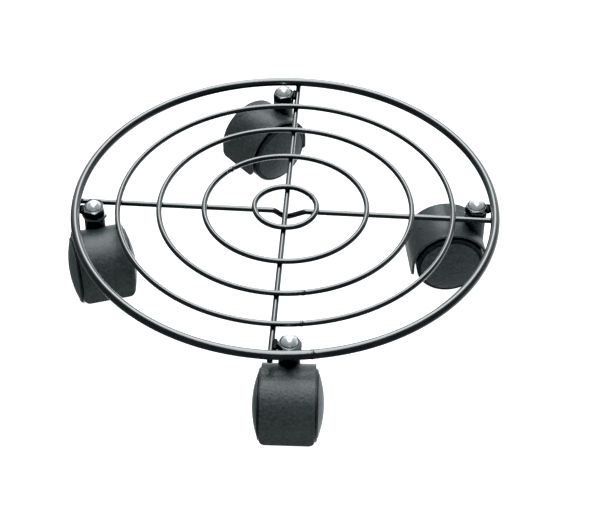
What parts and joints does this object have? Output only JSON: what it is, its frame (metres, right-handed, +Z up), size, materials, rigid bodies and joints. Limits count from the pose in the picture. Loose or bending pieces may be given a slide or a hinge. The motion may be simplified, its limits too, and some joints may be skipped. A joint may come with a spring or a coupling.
{
  "type": "plant pot caddy",
  "caption": "Round wire-grid plant pot caddy of concentric welded rings and crossed wires, on hooded twin-wheel swivel casters fixed with domed cap nuts.",
  "frame": {"origin": "on the floor, under the middle of the grid", "axes": "+Z up; the casters stand near the X and Y axes, with the front one towards -Y"},
  "size_m": [0.3088, 0.3392, 0.0676],
  "materials": {
    "frame_paint": "gloss black paint over round steel wire",
    "weld_paint": "gloss black paint over rough weld beads",
    "nut_plate": "bright plated steel, polished dome",
    "stem_steel": "turned steel with an oiled shank",
    "spring_steel": "dark spring steel",
    "hood_plastic": "fine-grained moulded dark grey plastic",
    "wheel_plastic": "smooth moulded black plastic, lightly scuffed tread",
    "cover_plastic": "satin moulded dark grey plastic",
    "axle_steel": "plain drawn steel"
  },
  "bodies": {
    "frame": {"outer_ring": "frame_paint", "ring_2": "frame_paint", "ring_3": "frame_paint", "ring_4": "frame_paint", "ring_5": "frame_paint", "cross_wire_straight": "frame_paint", "cross_wire_bent": "frame_paint", "front_cap_nut": "nut_plate", "front_welds": "weld_paint", "front_stem": "stem_steel", "front_grip_ring": "spring_steel", "right_cap_nut": "nut_plate", "right_welds": "weld_paint", "right_stem": "stem_steel", "right_grip_ring": "spring_steel", "back_cap_nut": "nut_plate", "back_welds": "weld_paint", "back_stem": "stem_steel", "back_grip_ring": "spring_steel", "left_cap_nut": "nut_plate", "left_welds": "weld_paint", "left_stem": "stem_steel", "left_grip_ring": "spring_steel"},
    "front_caster": {"front_hood": "hood_plastic", "front_axle": "axle_steel"},
    "front_roller_a": {"front_wheel_a": "wheel_plastic", "front_cover_a": "cover_plastic"},
    "front_roller_b": {"front_wheel_b": "wheel_plastic", "front_cover_b": "cover_plastic"},
    "right_caster": {"right_hood": "hood_plastic", "right_axle": "axle_steel"},
    "right_roller_a": {"right_wheel_a": "wheel_plastic", "right_cover_a": "cover_plastic"},
    "right_roller_b": {"right_wheel_b": "wheel_plastic", "right_cover_b": "cover_plastic"},
    "back_caster": {"back_hood": "hood_plastic", "back_axle": "axle_steel"},
    "back_roller_a": {"back_wheel_a": "wheel_plastic", "back_cover_a": "cover_plastic"},
    "back_roller_b": {"back_wheel_b": "wheel_plastic", "back_cover_b": "cover_plastic"},
    "left_caster": {"left_hood": "hood_plastic", "left_axle": "axle_steel"},
    "left_roller_a": {"left_wheel_a": "wheel_plastic", "left_cover_a": "cover_plastic"},
    "left_roller_b": {"left_wheel_b": "wheel_plastic", "left_cover_b": "cover_plastic"}
  },
  "joints": [
    {"name": "front_swivel", "type": "hinge", "parent": "frame", "child": "front_caster", "pos_m": [0.00119, -0.13639, 0.05435], "axis": [0, 0, 1], "continuous": true},
    {"name": "front_roll_a", "type": "hinge", "parent": "front_caster", "child": "front_roller_a", "pos_m": [0.00024, -0.15577, 0.02425], "axis": [0.9988, -0.0488, 0], "continuous": true},
    {"name": "front_roll_b", "type": "hinge", "parent": "front_caster", "child": "front_roller_b", "pos_m": [0.00024, -0.15577, 0.02425], "axis": [0.9988, -0.0488, 0], "continuous": true},
    {"name": "right_swivel", "type": "hinge", "parent": "frame", "child": "right_caster", "pos_m": [0.1364, 0, 0.05435], "axis": [0, 0, 1], "continuous": true},
    {"name": "right_roll_a", "type": "hinge", "parent": "right_caster", "child": "right_roller_a", "pos_m": [0.11706, -0.00152, 0.02425], "axis": [0.0785, -0.9969, 0], "continuous": true},
    {"name": "right_roll_b", "type": "hinge", "parent": "right_caster", "child": "right_roller_b", "pos_m": [0.11706, -0.00152, 0.02425], "axis": [0.0785, -0.9969, 0], "continuous": true},
    {"name": "back_swivel", "type": "hinge", "parent": "frame", "child": "back_caster", "pos_m": [0, 0.1364, 0.05435], "axis": [0, 0, 1], "continuous": true},
    {"name": "back_roll_a", "type": "hinge", "parent": "back_caster", "child": "back_roller_a", "pos_m": [-0.01508, 0.12419, 0.02425], "axis": [0.6293, -0.7771, 0], "continuous": true},
    {"name": "back_roll_b", "type": "hinge", "parent": "back_caster", "child": "back_roller_b", "pos_m": [-0.01508, 0.12419, 0.02425], "axis": [0.6293, -0.7771, 0], "continuous": true},
    {"name": "left_swivel", "type": "hinge", "parent": "frame", "child": "left_caster", "pos_m": [-0.1364, 0, 0.05435], "axis": [0, 0, 1], "continuous": true},
    {"name": "left_roll_a", "type": "hinge", "parent": "left_caster", "child": "left_roller_a", "pos_m": [-0.13138, -0.01874, 0.02425], "axis": [0.9659, 0.2588, 0], "continuous": true},
    {"name": "left_roll_b", "type": "hinge", "parent": "left_caster", "child": "left_roller_b", "pos_m": [-0.13138, -0.01874, 0.02425], "axis": [0.9659, 0.2588, 0], "continuous": true}
  ]
}
